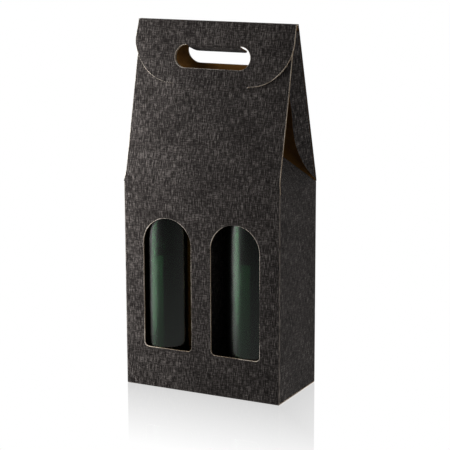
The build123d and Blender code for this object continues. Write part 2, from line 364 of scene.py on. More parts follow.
def board(name, body, node, cells, place, folds=(), bow=None, rub=None, slot="printed_board"):
    """A slab of board. Its printed face lies on the sheet, raised by bow(x, y), and its brown face deeper
    by the board's thickness. Its cut edges are crushed a little; folds change them as fold says, and
    rub(x, y) is the share of the print that is worn off elsewhere."""
    points, faces = weld(cells)
    count = len(points)
    forth, back_codes = edge_codes(faces, count)
    sides = forth[~np.isin(forth, back_codes)]
    start, end = sides // count, sides % count
    tangent = points[end] - points[start]
    tangent /= np.linalg.norm(tangent, axis=1)[:, None]
    outward = np.column_stack((tangent[:, 1], -tangent[:, 0]))
    middle = (points[start] + points[end]) / 2
    folded = np.zeros(len(start), bool)
    back, wear, kind = np.zeros(len(start)), np.zeros(len(start)), np.full(len(start), RAW)
    for test, fold_back, fold_wear, fold_kind in folds:
        hit = test(middle[:, 0], middle[:, 1])
        folded |= hit
        back[hit], wear[hit], kind[hit] = fold_back, fold_wear, fold_kind

    going, coming = np.argsort(start), np.argsort(end)
    rim = start[going]
    inverse = np.linalg.pinv(np.stack((outward[coming], outward[going]), axis=1), rcond=0.1)

    def drawn_in(inset):
        wanted = np.stack((inset[coming], inset[going]), axis=1)
        return points[rim] - (inverse @ wanted[..., None])[..., 0]

    front_points, back_points = points.copy(), points.copy()
    front_points[rim] = drawn_in(np.where(folded, fold_inset, cut_inset))
    back_points[rim] = drawn_in(np.where(folded, back + fold_inset, cut_inset))
    drop = np.where(folded[coming] | folded[going], fold_inset, cut_drop)
    sheet = np.vstack((
        np.column_stack((front_points, np.zeros(count))),
        np.column_stack((back_points, np.full(count, thick))),
        np.column_stack((points[rim], drop)),
        np.column_stack((drawn_in(back), thick - drop)),
    ))
    x, y, depth = sheet.T
    thickness = place(x, y, 0 * x) - place(x, y, thick + 0 * x)
    raised = bow(x, y) if bow else 0 * x
    places = place(x, y, depth) + raised[:, None] * thickness / thick

    rank = np.empty(count, int)
    rank[rim] = np.arange(len(rim))
    b_start, b_end = 2 * count + rank[start], 2 * count + rank[end]
    c_start, c_end = b_start + len(rim), b_end + len(rim)
    quads = np.vstack((
        faces,
        faces[:, ::-1] + count,
        np.column_stack((start, b_start, b_end, end)),
        np.column_stack((b_start, c_start, c_end, b_end)),
        np.column_stack((c_start, start + count, end + count, c_end)),
    ))
    kinds = np.concatenate((
        np.full(len(faces), PRINTED),
        np.full(len(faces), BROWN),
        np.where(folded, PRINTED, WORN),
        kind,
        np.where(folded & (kind == PRINTED), PRINTED, BROWN),
    ))
    worn_share = np.zeros(len(sheet))
    worn_share[rim] = np.maximum(wear[coming], wear[going])
    worn_share[2 * count:2 * count + len(rim)] = worn_share[rim]
    if rub:
        worn_share = np.maximum(worn_share, rub(x, y))
    piece = mesh_piece(name, places, quads.tolist(), BOARD_FINISHES[slot], kinds.tolist())
    values = piece.data.attributes.new("sheet", "FLOAT_VECTOR", "POINT")
    values.data.foreach_set("vector", sheet.astype(np.float32).ravel())
    values = piece.data.attributes.new("wear", "FLOAT", "POINT")
    values.data.foreach_set("value", worn_share.astype(np.float32))
    dressed(piece, body, node)


def mesh_piece(name, points, faces, materials, kinds=None, sharp=35):
    """A mesh object of these points and faces, smooth but for edges sharper than sharp degrees."""
    mesh = bpy.data.meshes.new(name)
    mesh.from_pydata(points.tolist(), [], faces)
    for material in materials:
        mesh.materials.append(material)
    if kinds is not None:
        mesh.polygons.foreach_set("material_index", kinds)
    mesh.polygons.foreach_set("use_smooth", [True] * len(mesh.polygons))
    mesh.set_sharp_from_angle(angle=radians(sharp))
    mesh.update()
    piece = bpy.data.objects.new(name, mesh)
    scene.collection.objects.link(piece)
    return piece


def turned(name, profile, foot, material, sides=72):
    """A profile of (r, z) points turned round the upright axis through foot, closed at its two poles:
    (r cos a, r sin a, z) + foot."""
    angle = np.linspace(0, 2 * pi, sides, endpoint=False)
    radius, height = profile[1:-1, :1], profile[1:-1, 1:]
    rings = np.stack((radius * np.cos(angle), radius * np.sin(angle), height + 0 * angle), axis=-1)
    poles = np.array(((0, 0, profile[0, 1]), (0, 0, profile[-1, 1])))
    points = np.vstack((rings.reshape(-1, 3), poles)) + foot
    index = np.arange(rings.shape[0] * sides).reshape(-1, sides)
    after = np.roll(index, -1, axis=1)
    walls = np.stack((index[:-1], after[:-1], after[1:], index[1:]), axis=-1).reshape(-1, 4)
    low = np.column_stack((np.full(sides, len(points) - 2), after[0], index[0]))
    high = np.column_stack((index[-1], after[-1], np.full(sides, len(points) - 1)))
    return mesh_piece(name, points, walls.tolist() + low.tolist() + high.tolist(), [material])


def dressed(piece, body, node):
    """The piece rides on its body and stands for its node."""
    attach(piece, body)
    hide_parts(node)


# Materials

def emptied(owner):
    """The node tree of a material or a world, with no nodes in it."""
    owner.use_nodes = True
    owner.node_tree.nodes.clear()
    return owner.node_tree


def add(tree, kind, settings=None, **inputs):
    """A node with its settings; an input given a socket is linked and one given a value is set."""
    node = tree.nodes.new("ShaderNode" + kind)
    for key, value in (settings or {}).items():
        setattr(node, key, value)
    for key, value in inputs.items():
        socket = node.inputs[int(key[1:])] if key[0] == "i" and key[1:].isdigit() else node.inputs[key]
        if isinstance(value, bpy.types.NodeSocket):
            tree.links.new(value, socket)
        else:
            socket.default_value = value
    return node


def shown(tree, shader, kind="OutputMaterial"):
    """Links the shader to a new output."""
    tree.links.new(shader.outputs[0], add(tree, kind).inputs["Surface"])


def new_material(name):
    material = bpy.data.materials.new(name)
    tree = emptied(material)
    shader = add(tree, "BsdfPrincipled")
    shown(tree, shader)
    return material, tree, shader


def axes(tree, vector):
    """The x, y and z of a vector."""
    return add(tree, "SeparateXYZ", Vector=vector).outputs[:]


def ranged(tree, value, low=0.0, high=1.0, start=0.0, end=1.0):
    """start where the value is low, end where it is high, and even in between."""
    return add(tree, "MapRange", Value=value, i1=low, i2=high, i3=start, i4=end).outputs[0]


def sheet_millimetres(tree):
    """The sheet coordinates of a board, in millimetres."""
    source = add(tree, "Attribute", {"attribute_name": "sheet"}).outputs["Vector"]
    return add(tree, "VectorMath", {"operation": "SCALE"}, i0=source, Scale=1 / MM).outputs[0]


def stretched(tree, vector, scale):
    return add(tree, "Mapping", Vector=vector, Scale=scale).outputs[0]


def noise(tree, vector, scale=1.0, detail=2.0, roughness=0.5):
    node = add(tree, "TexNoise", Vector=vector, Scale=scale, Detail=detail, Roughness=roughness)
    return node.outputs["Fac"]


def maths(tree, operation, a, b=0.0):
    return add(tree, "Math", {"operation": operation}, i0=a, i1=b).outputs[0]


def times(tree, a, b):
    return maths(tree, "MULTIPLY", a, b)


def plus(tree, a, b):
    return maths(tree, "ADD", a, b)


def minus(tree, a, b):
    return maths(tree, "SUBTRACT", a, b)


def mixed(tree, share, a, b):
    """Colour a, with this share of colour b."""
    return add(tree, "Mix", {"data_type": "RGBA"}, Factor=share, i6=a, i7=b).outputs[2]


def ramp(tree, fac, *stops):
    """A colour ramp through (position, colour) stops."""
    node = add(tree, "ValToRGB", Fac=fac)
    band = node.color_ramp
    while len(band.elements) < len(stops):
        band.elements.new(0.5)
    for element, (position, colour) in zip(band.elements, stops):
        element.position = position
        element.color = (*colour, 1.0)
    return node.outputs["Color"]


def finished(tree, shader, colour, roughness, specular=0.5, relief=None):
    """Gives the shader these values; relief is a height with its strength and its depth in metres."""
    tree.links.new(colour, shader.inputs["Base Color"])
    shader.inputs["Roughness"].default_value = roughness
    shader.inputs["Specular IOR Level"].default_value = specular
    if relief:
        height, strength, depth = relief
        bump = add(tree, "Bump", Strength=strength, Distance=depth, Height=height)
        tree.links.new(bump.outputs[0], shader.inputs["Normal"])


def linen_print():
    """Black print that imitates linen: short pale and dark threads both ways over a fine weave, and a
    paler line where a fold has worn it."""
    material, tree, shader = new_material("linen_print")
    sheet = sheet_millimetres(tree)
    warp, weft, weave = (
        noise(tree, stretched(tree, sheet, (*scale, 0.0)), roughness=0.6)
        for scale in ((1.15, 0.12), (0.14, 1.15), (1.7, 0.8))
    )
    patch = noise(tree, sheet, scale=0.025)
    threads = plus(tree, plus(tree, times(tree, warp, 0.5), times(tree, weft, 0.3)), times(tree, weave, 0.2))
    tone = plus(tree, threads, times(tree, minus(tree, patch, 0.5), 0.1))
    print_colour = ramp(
        tree, tone,
        (0.39, (0.0042, 0.0033, 0.0029)), (0.465, (0.0115, 0.0099, 0.0092)),
        (0.53, (0.030, 0.0264, 0.0248)), (0.61, (0.110, 0.098, 0.092)),
    )
    wear = add(tree, "Attribute", {"attribute_name": "wear"}).outputs["Fac"]
    rubbed = times(tree, wear, ranged(tree, warp, 0.35, 0.6))
    colour = mixed(tree, rubbed, print_colour, (0.22, 0.19, 0.165, 1.0))
    finished(tree, shader, colour, 0.72, 0.12, (threads, 0.35, 0.1 * MM))
    return material


def kraft_liner():
    """Brown liner: mottled pulp, fine fibres and the faint stripes of the flutes behind."""
    material, tree, shader = new_material("kraft_liner")
    sheet = sheet_millimetres(tree)
    fibres = noise(tree, stretched(tree, sheet, (1.6, 0.5, 0.0)), detail=5, roughness=0.7)
    pulp = noise(tree, sheet, scale=0.12, detail=3)
    stripes = add(tree, "TexWave", {"bands_direction": "X"}, Vector=sheet, Scale=0.165, Distortion=0.4)
    tone = plus(tree, times(tree, fibres, 0.6), times(tree, pulp, 0.4))
    colour = ramp(
        tree, tone,
        (0.3, (0.085, 0.036, 0.008)), (0.5, (0.13, 0.06, 0.014)), (0.72, (0.19, 0.095, 0.026)),
    )
    height = plus(tree, times(tree, stripes.outputs["Fac"], 0.5), fibres)
    finished(tree, shader, colour, 0.85, 0.2, (height, 0.4, 0.1 * MM))
    return material


flute_pitch = 3.2
liner_thick = 0.25


def raw_edge():
    """Cut edge of the board: two liners and, between them, the flute's wave depth = middle +
    amplitude * sin(2 pi x / pitch); between the paper, where the flute channels are hollow, the edge is
    painted dark as their shade."""
    material, tree, shader = new_material("raw_edge")
    sheet = sheet_millimetres(tree)
    x, _, depth = axes(tree, sheet)
    middle = thick / MM / 2
    swing = (middle - liner_thick) * 0.9
    sine = maths(tree, "SINE", times(tree, x, 2 * pi / flute_pitch))
    off_wave = maths(tree, "ABSOLUTE", minus(tree, depth, plus(tree, times(tree, sine, swing), middle)))
    off_middle = maths(tree, "ABSOLUTE", minus(tree, depth, middle))
    on_wave = maths(tree, "LESS_THAN", off_wave, 0.2)
    on_liner = maths(tree, "GREATER_THAN", off_middle, middle - liner_thick)
    paper = maths(tree, "MAXIMUM", on_wave, on_liner)
    fibres = noise(tree, sheet, scale=2.5, detail=3, roughness=0.7)
    pale = ramp(tree, fibres, (0.3, (0.34, 0.24, 0.15)), (0.6, (0.62, 0.52, 0.40)))
    # Painted shade: between the paper, the hollow flute channels are coloured dark brown.
    colour = mixed(tree, paper, (0.10, 0.06, 0.03, 1.0), pale)
    finished(tree, shader, colour, 0.9, 0.1, (paper, 0.8, 0.3 * MM))
    return material


def worn_edge():
    """The line where the cut has chipped the print: pale paper with dark remains."""
    material, tree, shader = new_material("worn_edge")
    sheet = sheet_millimetres(tree)
    stretches = times(tree, minus(tree, noise(tree, sheet, scale=0.035), 0.5), 0.9)
    chips = plus(tree, noise(tree, sheet, scale=0.7, detail=4, roughness=0.7), stretches)
    colour = ramp(
        tree, chips, (0.40, (0.05, 0.045, 0.04)), (0.5, (0.35, 0.31, 0.26)), (0.6, (0.66, 0.60, 0.52)),
    )
    finished(tree, shader, colour, 0.85, 0.15)
    return material


def bottle_glass():
    """Dark green glass with a slightly dulled skin, and a less clear green patch where z is below patch_top
    and x, measured from the bottle's axis, lies between the two patch_sides."""
    material, tree, shader = new_material("bottle_glass")
    position = add(tree, "TexCoord").outputs["Object"]
    dust = noise(tree, position, scale=60.0, detail=3)
    tree.links.new(ranged(tree, dust, start=0.12, end=0.22), shader.inputs["Roughness"])
    x, _, z = axes(tree, position)
    from_axis = minus(tree, x, times(tree, maths(tree, "SIGN", x), bottle_x))
    past_low = maths(tree, "GREATER_THAN", from_axis, patch_sides[0])
    before_high = maths(tree, "LESS_THAN", from_axis, patch_sides[1])
    # A less clear, greener strip in each bottle beside its axis, stronger upwards.
    inside = times(tree, times(tree, past_low, before_high), maths(tree, "LESS_THAN", z, patch_top))
    patch = times(tree, inside, ranged(tree, z, 0.05, patch_top, 0.3))
    clear = ranged(tree, patch, start=1.0, end=0.88)
    tree.links.new(clear, shader.inputs["Transmission Weight"])
    shader.inputs["Base Color"].default_value = (0.03, 0.12, 0.045, 1)
    shader.inputs["IOR"].default_value = 1.52
    return material


def red_wine():
    material, tree, shader = new_material("red_wine")
    position = add(tree, "TexCoord").outputs["Object"]
    haze = noise(tree, position, scale=30.0)
    colour = ramp(tree, haze, (0.3, (0.010, 0.0006, 0.001)), (0.7, (0.016, 0.001, 0.0015)))
    finished(tree, shader, colour, 0.08)
    return material


def cork_bark():
    """Light cork with darker pores."""
    material, tree, shader = new_material("cork_bark")
    position = add(tree, "TexCoord").outputs["Object"]
    grain = noise(tree, position, scale=450.0, detail=4, roughness=0.7)
    pores = add(tree, "TexVoronoi", Vector=position, Scale=380.0).outputs["Distance"]
    tone = times(tree, grain, maths(tree, "MINIMUM", times(tree, pores, 3.0), 1.0))
    colour = ramp(
        tree, tone, (0.15, (0.12, 0.06, 0.03)), (0.35, (0.42, 0.26, 0.14)), (0.6, (0.60, 0.42, 0.25)),
    )
    finished(tree, shader, colour, 0.85, relief=(tone, 0.4, 0.2 * MM))
    return material


linen, kraft, raw, worn = linen_print(), kraft_liner(), raw_edge(), worn_edge()
# Painted shade: on kraft board the brown-kind faces, which on the divider face the right bottle, take the
# black print.
BOARD_FINISHES = {"printed_board": (linen, raw, kraft, worn), "kraft_board": (kraft, kraft, linen, kraft)}


# Walls of the carton

corner_length = corner_round * pi / 4
fold_column = 8 * MM
wall_foot = 0.2 * MM
wall_top = shoulder - fold_gap
crease_column_steps = np.array((0, 2.2, 3.0, 3.5, 4.0, 4.5, 5.0, 5.6, 6.2)) * MM


def wall_finish(half, foot):
    """A wall's folds, its shallow grooves 4 mm from the corners and along the shoulder, and the wear where
    its sheet turns, which is gone a millimetre away."""
    outer = half - corner_round + corner_length
    at_corners = fold(lambda x, y: near(np.abs(x), outer), wear=0.8)
    folds = (fold_at(foot, back=thick, wear=0.5), fold_at(wall_top), at_corners)

    def bow(x, y):
        groove = bell(np.abs(x) - half + 4.2 * MM, 0.55 * MM)
        return -0.22 * MM * groove - 0.3 * MM * bell(y - wall_top, 0.7 * MM)

    return {"folds": folds, "bow": bow, "rub": lambda x, y: 0.75 * bell(np.abs(x) - outer, 0.7 * MM)}


def corner_columns(half):
    """Columns of a wall from its last flat stretch round half of the corner."""
    flat_half = half - corner_round
    bend = flat_half + np.linspace(0, corner_length, 6)
    lead = half - fold_column + crease_column_steps
    return np.r_[lead[lead < flat_half - 0.2 * MM], bend]


def wall_rows(foot):
    lower = np.array((0, 0.4, 0.9, 1.6, 3.0)) * MM + foot
    upper = wall_top - np.array((3.0, 1.6, 0.9, 0.5, 0.25, 0)) * MM
    return np.r_[lower, np.linspace(lower[-1], upper[0], 24)[1:-1], upper]


def window_stretches():
    """The window's outline as four stretches: sill, right side, arch and left side."""
    half = window_width / 2
    spring = window_sill + window_height - half
    level = window_sill + window_corner
    left_sill, right_sill = (window_corner - half, level), (half - window_corner, level)
    sill = joined(
        arc(left_sill, window_corner, 225, 270, 7), arc(right_sill, window_corner, 270, 315, 7),
    )
    right = joined(arc(right_sill, window_corner, 315, 360, 7), arc((0, spring), half, 0, 45, 15))
    arch = arc((0, spring), half, 45, 135, 29)
    left = joined(arc((0, spring), half, 135, 180, 15), arc(left_sill, window_corner, 180, 225, 7))
    return sill, right, arch, left


def rectangle_stretches(x_low, x_high, y_low, y_high):
    """A rectangle as four stretches from its lower left corner: bottom, right, top and left."""
    corners = [(x_low, y_low), (x_high, y_low), (x_high, y_high), (x_low, y_high)]
    return [line(*ends) for ends in zip(corners, corners[1:] + corners[:1])]


def shifted(stretches, x=0.0, y=0.0):
    return [stretch + np.array((x, y)) for stretch in stretches]


def mirrored(cell):
    return cell * np.array((-1.0, 1.0))


def front_wall_board():
    inner_edge = half_width - fold_column
    hole = shifted(window_stretches(), x=(mullion + window_width) / 2)
    right = ring(hole, rectangle_stretches(0, inner_edge, wall_foot, wall_top))
    border = right[-1]
    rows = np.unique(np.round(border[near(border[:, 0], inner_edge), 1], 9))
    side = strip(corner_columns(half_width), rows)
    board(
        "front_wall_board", "carton_body", "front_wall",
        [right, mirrored(right), side, mirrored(side)],
        wrapped(np.array((0, -half_depth, 0)), ACROSS, UP, half_width - corner_round),
        **wall_finish(half_width, wall_foot),
    )


def plain_wall(name, node, origin, across, half, foot):
    """A wall without windows: one grid that bends round half of both corners."""
    edge = corner_columns(half)
    middle = np.linspace(-edge[0], edge[0], 14)[1:-1]
    columns = np.r_[-edge[::-1], middle, edge]
    board(
        name, "carton_body", node, [strip(columns, wall_rows(foot))],
        wrapped(origin, across, UP, half - corner_round), **wall_finish(half, foot),
    )


front_wall_board()
side_foot = thick + wall_foot
plain_wall("rear_wall_board", "rear_wall", half_depth * BACKWARDS, -ACROSS, half_width, wall_foot)
plain_wall("right_wall_board", "right_side_wall", half_width * ACROSS, BACKWARDS, half_depth, side_foot)
plain_wall("left_wall_board", "left_side_wall", -half_width * ACROSS, -BACKWARDS, half_depth, side_foot)


# Gables and closing flap

def slot_stretches(width, height, level):
    """A slot with round ends as four stretches, cut where its ends stand at 45 degrees."""
    reach, radius = (width - height) / 2, height / 2
    bottom = joined(arc((-reach, level), radius, 225, 270, 9), arc((reach, level), radius, 270, 315, 9))
    right = arc((reach, level), radius, -45, 45, 17)
    upper = joined(arc((reach, level), radius, 45, 90, 9), arc((-reach, level), radius, 90, 135, 9))
    left = arc((-reach, level), radius, 135, 225, 17)
    return bottom, right, upper, left


def box_stretches(width, low, high):
    return rectangle_stretches(-width / 2, width / 2, low, high)


def leaning(turn):
    """The upright direction, leant forwards by turn."""
    return np.array((0, -sin(turn), cos(turn)))


front_fold = thick * tan(front_tilt)
rear_fold = thick * tan(rear_tilt)
dust_fold = thick * tan(dust_angle)
ridge_back = 1.75 * MM


def front_gable_board():
    low, high = fold_gap, front_slope - gable_top_drop
    slot_level = front_slope - slot_drop - slot_height / 2
    slit_low = front_slope - flap_length - slit_below
    slit_high = front_slope - flap_length + thick + slit_above
    slit_wide = 2 * (half_width - flap_corner + slit_side_gap)
    split = (slit_high + slot_level - slot_height / 2) / 2
    slot_hole = slot_stretches(slot_width, slot_height, slot_level)
    slit_hole = box_stretches(slit_wide, slit_low, slit_high)
    narrow = half_width - gable_inset
    upper_border = box_stretches(2 * narrow, split, high)
    right_turn, left_turn = (narrow, gable_inset_rise), (-narrow, gable_inset_rise)
    lower_border = (
        line((-half_width, low), (half_width, low)),
        path(line((half_width, low), right_turn, 2 * MM), line(right_turn, (narrow, split))),
        upper_border[0][::-1],
        path(line((-narrow, split), left_turn), line(left_turn, (-half_width, low), 2 * MM)),
    )
    common = merged(shares(slot_hole[0]), 1 - shares(slit_hole[2]), shares(upper_border[0]))
    upper = ring(slot_hole, upper_border, {0: (common,)})
    lower = ring(slit_hole, lower_border, {2: (1 - common[::-1],)})

    def bow(x, y):
        ripple = 0.35 * MM * np.sin(y / (21 * MM) + 0.6) * (np.abs(x) / half_width) ** 6
        return ripple * np.clip(y / (20 * MM), 0, 1) * (x > 0) - 0.3 * MM * bell(y, 0.7 * MM)

    # Painted shade: the slit's cut edges take the black print instead of pale raw board.
    def on_slit(x, y):
        level = (y < slit_high + fold_gap) & (y > slit_low - fold_gap)
        return level & (np.abs(x) < slit_wide / 2 + fold_gap)

    board(
        "front_gable_board", "front_gable", "front_gable", [upper, lower],
        flat(np.array((0, -half_depth, shoulder)), ACROSS, leaning(-front_tilt)),
        folds=[fold(on_slit, kind=PRINTED), fold_at(low, back=front_fold)], bow=bow,
    )


def rear_gable_board():
    low, high = fold_gap, rear_slope - fold_gap
    level = rear_slope - rear_slot_drop - slot_height / 2
    hole = slot_stretches(rear_slot_width, slot_height, level)
    board(
        "rear_gable_board", "rear_gable", "rear_gable",
        [ring(hole, box_stretches(2 * half_width, low, high))],
        flat(np.array((0, half_depth, shoulder)), -ACROSS, leaning(rear_tilt)),
        folds=[
            fold_at(low, back=rear_fold),
            fold_at(high, back=ridge_back, wear=0.7),
            fold(lambda x, y: near(np.abs(x), half_width), back=wing_mitre, wear=0.3, kind=PRINTED),
        ],
        bow=lambda x, y: -MM * (0.3 * bell(y, 0.7 * MM) + 0.05 * bell(high - y, 0.7 * MM)),
    )


fold_roll = 0.9 * MM


def rolled(distance):
    """How far a face sinks where it rolls into a fold: fold_roll - sqrt(fold_roll^2 - (fold_roll - d)^2)."""
    inside = np.clip(fold_roll - distance, 0, fold_roll * 0.999)
    return fold_roll - np.sqrt(fold_roll**2 - inside**2)


def closing_flap_board():
    high = -fold_gap
    straight = half_width - flap_corner
    centre_y = flap_corner - flap_length
    hole = slot_stretches(slot_width, slot_height, -slot_drop - slot_height / 2)
    lowest = -flap_length - fold_sag
    ease = 1.5 * MM
    left, right = (-straight, centre_y), (straight, centre_y)
    border = (
        path(
            arc(left, flap_corner, 225, 270, 17), line((ease - straight, lowest), (straight - ease, lowest)),
            arc(right, flap_corner, 270, 315, 17),
        ),
        path(arc(right, flap_corner, 315, 360, 17), line((half_width, centre_y), (half_width, high))),
        line((half_width, high), (-half_width, high)),
        path(line((-half_width, high), (-half_width, centre_y)), arc(left, flap_corner, 180, 225, 17)),
    )

    def bow(x, y):
        ridge = -rolled(-y) * 0.06
        lower = -rolled(y - lowest) * (np.abs(x) < straight)
        across_lift = np.clip((x - 30 * MM) / (60 * MM), 0, 1) ** 1.6
        down_lift = np.clip(-(y + 12 * MM) / (40 * MM), 0, 1) ** 1.4
        left_lift = np.clip((-x - 45 * MM) / (45 * MM), 0, 1) ** 2 * bell(y + 24 * MM, 16 * MM)
        left_lift *= 1 - bell(y, 7 * MM)
        return ridge + lower + 2.4 * MM * across_lift * down_lift + 2.6 * MM * left_lift

    board(
        "closing_flap_board", "closing_flap", "closing_flap", [ring(hole, border)],
        flat(np.array((0, ridge_front, top)), ACROSS, leaning(-front_tilt)),
        folds=[
            fold_at(high, back=ridge_back, wear=0.7),
            fold_at(lowest, kind=PRINTED),
            fold(lambda x, y: near(y, -slot_drop) & (np.abs(x) < slot_straight / 2), kind=PRINTED),
        ], bow=bow,
    )


front_gable_board()
rear_gable_board()
closing_flap_board()


# Small boards

def leaf(width, length, radius):
    """A leaf that hangs from y = 0 down to -length, its two lower corners round."""
    half = width / 2
    left = path(
        line((-half, 0), (-half, radius - length), 3 * MM),
        arc((radius - half, radius - length), radius, 180, 270),
    )
    return spanned(left, mirrored(left))


# Cut edges painted dark all round the board as painted shade: the bevel takes the black print and the side
# the brown liner, not pale raw board
shade_painted_cut = fold(lambda x, y: x == x)


def ridge_board():
    low, high = ridge_front + fold_gap, ridge_rear - fold_gap
    middle, depth = (low + high) / 2, high - low
    cell = strip(np.linspace(-half_width, half_width, 31), low + depth * SPAN_ROWS)
    board(
        "ridge_board", "ridge_strip", "ridge_strip", [cell], flat(top * UP, ACROSS, BACKWARDS),
        folds=[fold(lambda x, y: near(y, low) | near(y, high), back=thick / 2, wear=0.7)],
        bow=lambda x, y: -rolled(depth / 2 - np.abs(y - middle)) * 0.06,
    )


def handle_tab_board():
    """Its printed face looks forwards and down; its crease end is lifted against the slot's top."""
    width = slot_straight - 2 * tab_side_gap
    place = flat(creases["handle_tab_crease"], ACROSS, leaning(tab_angle - front_tilt))
    board(
        "handle_tab_board", "handle_tab", "handle_tab", [leaf(width, tab_length, tab_corner)],
        lambda x, y, depth: place(x, y, depth - thick),
        folds=[shade_painted_cut, fold_at(0, kind=PRINTED)],
        bow=lambda x, y: -0.42 * MM * bell(y, 3 * MM),
    )


def tongue_board():
    width = 2 * (half_width - flap_corner - tongue_side_gap)
    board(
        "tongue_board", "tuck_tongue", "tuck_tongue", [leaf(width, tongue_length, tongue_corner)],
        flat(creases["tongue_crease"], ACROSS, leaning(pi / 2 + tongue_lean - front_tilt)),
        folds=[fold_at(0, kind=PRINTED)],
    )


def wing_reach(width):
    """How far up the rear slope a wing of this width stays clear of the front gable."""
    front_slant = tan(front_tilt)
    room = 2 * half_depth - thick / cos(front_tilt) - wing_top_clear
    room -= width * (cos(rear_tilt) - front_slant * sin(rear_tilt))
    return room / (sin(rear_tilt) + front_slant * cos(rear_tilt))


def wing_board(side, name):
    """x is the distance from the rear gable's sloping edge, y the way up it; side is 1 at the right."""
    forward = cos(wing_angle)
    across = np.array((-side * sin(wing_angle), -forward * cos(rear_tilt), -forward * sin(rear_tilt)))
    belly = arc_through((wing_mitre, wing_foot), wing_belly, (wing_width, wing_straight))
    corner = (wing_width, wing_reach(wing_width))
    peak = (wing_start + wing_tip, wing_reach(wing_start + wing_tip))
    free = path(
        line((wing_mitre - 0.4 * MM, wing_foot), belly[0]), belly,
        line(belly[-1], corner), line(corner, peak),
    )
    root = line((fold_gap, wing_foot), (fold_gap, peak[1]))
    board(
        f"{name}_wing_board", f"{name}_wing", f"{name}_wing",
        [spanned(root, free) * np.array((-side, 1.0))],
        flat(creases[f"{name}_wing_crease"], -side * across, leaning(rear_tilt)),
        folds=[shade_painted_cut, fold(lambda x, y: near(np.abs(x), fold_gap), back=wing_mitre - fold_gap)],
    )


def dust_flap_board(side, name):
    """y runs up from the side wall's top, x backwards at the right and forwards at the left."""
    half = half_depth - thick - dust_inset
    rise = dust_length - fold_gap
    sides = []
    for taper in (dust_front_taper, dust_rear_taper):
        lead = dust_corner * tan((pi / 2 - taper) / 2)
        centre = (half - rise * tan(taper) - lead, dust_length - dust_corner)
        touch = (centre[0] + dust_corner * cos(taper), centre[1] + dust_corner * sin(taper))
        sides.append(path(
            line((half, fold_gap), touch), arc(centre, dust_corner, degrees(taper), 90),
        ))
    cell = spanned(mirrored(sides[0]), sides[1]) * np.array((side, 1.0))
    up = np.array((-side * sin(dust_angle), 0, cos(dust_angle)))
    board(
        f"{name}_dust_flap_board", f"{name}_dust_flap", f"{name}_dust_flap", [cell],
        flat(np.array((side * half_width, 0, shoulder)), side * BACKWARDS, up),
        folds=[shade_painted_cut, fold_at(fold_gap, back=dust_fold)],
        bow=lambda x, y: -0.25 * MM * bell(y, 0.7 * MM),
    )


def outer_bottom_board(turn, name):
    """Bottom flap of the front wall, or of the rear one turned half round; its print looks down."""
    half = half_width - bottom_inset
    low = -half_depth + thick / 5
    x = np.r_[np.linspace(-half, -lock_step, 10), np.linspace(-lock_step, lock_step, 8)[1:-1],
              np.linspace(lock_step, half, 10)]
    high = lock_shift * np.clip(x / lock_step, -1, 1) - seam_gap / 2
    board(
        f"{name}_bottom_board", "carton_body", f"{name}_bottom_flap", [columned(-x, low, high)],
        flat(np.zeros(3), -turn * ACROSS, turn * BACKWARDS),
        folds=[fold_at(low, back=thick, wear=0.5)],
    )


def inner_bottom_board(side, name):
    """Bottom flap of a side wall, folded in on top of the outer two."""
    outer, inner = half_width - thick / 5, half_width - side_flap_length
    cut_end = inner + side_flap_corner
    x = np.r_[np.linspace(inner, cut_end, 5), np.linspace(cut_end, outer, 9)[1:]]
    reach = half_depth - thick - 0.1 * MM - np.clip(cut_end - x, 0, None)
    board(
        f"{name}_bottom_board", "carton_body", f"{name}_bottom_flap", [columned(-side * x, -reach, reach)],
        flat(thick * UP, -ACROSS, BACKWARDS),
        folds=[fold(lambda x, y: near(np.abs(x), outer), back=thick)],
    )


def glue_flap_board():
    """The left wall's last strip, stuck inside the rear wall; x runs back to the left wall."""
    low = 2 * thick + glue_flap_clear
    high = wall_top - glue_flap_clear
    straight = glue_flap_width - glue_flap_bevel
    x = -np.r_[0, straight / 2, np.linspace(straight, glue_flap_width, 4)]
    cut = np.clip(-x - straight, 0, None)
    corner = np.array((thick - half_width, half_depth - thick, 0))
    board(
        "glue_flap_board", "carton_body", "glue_flap", [columned(x, low + cut, high - cut)],
        flat(corner, -ACROSS, UP), folds=[fold(lambda x, y: near(x, 0))],
    )


def divider_board():
    """Angle of brown board: its plate runs back along the middle and bends right along the rear wall.
    Past x = 0 the sheet turns a quarter of a circle of corner_round, then runs on straight."""
    rear = half_depth - thick
    centre = np.array((corner_round - thick / 2, rear - corner_round))
    front = divider_front_gap + corner_round - 2 * rear
    quarter = corner_round * pi / 2
    last = quarter + divider_foot - corner_round
    bow_columns = front + divider_corner * (1 - np.cos(np.linspace(0, pi / 2, 9)))
    x = np.r_[bow_columns, np.linspace(bow_columns[-1], 0, 12)[1:], np.linspace(0, quarter, 7)[1:],
              np.linspace(quarter, last, 5)[1:]]
    inside = np.clip(bow_columns[-1] - x, 0, divider_corner)
    high = divider_height - divider_corner + np.sqrt(divider_corner**2 - inside**2)

    def place(x, y, depth):
        angle = np.clip(x / corner_round, 0, pi / 2)
        radius = corner_round - depth
        return np.column_stack((
            centre[0] - radius * np.cos(angle) + np.clip(x - quarter, 0, None),
            centre[1] + radius * np.sin(angle) + np.clip(x, None, 0),
            y,
        ))

    board(
        # Painted shade: the side toward the right bottle takes the black print, though the board is brown
        # kraft.
        "divider_board", "carton_body", "bottle_divider", [columned(x, thick + fold_gap, high)], place,
        slot="kraft_board",
    )


ridge_board()
handle_tab_board()
tongue_board()
for side, side_name in SIDES:
    wing_board(side, side_name)
    dust_flap_board(side, side_name)
    inner_bottom_board(side, side_name)
for turn, place_name in ((1, "front"), (-1, "rear")):
    outer_bottom_board(turn, place_name)
glue_flap_board()
divider_board()


# Bottles, each with its wine and its cork

shoulder_end = bottle_body_height + bottle_shoulder_height
bottle_height = shoulder_end + bottle_neck_height


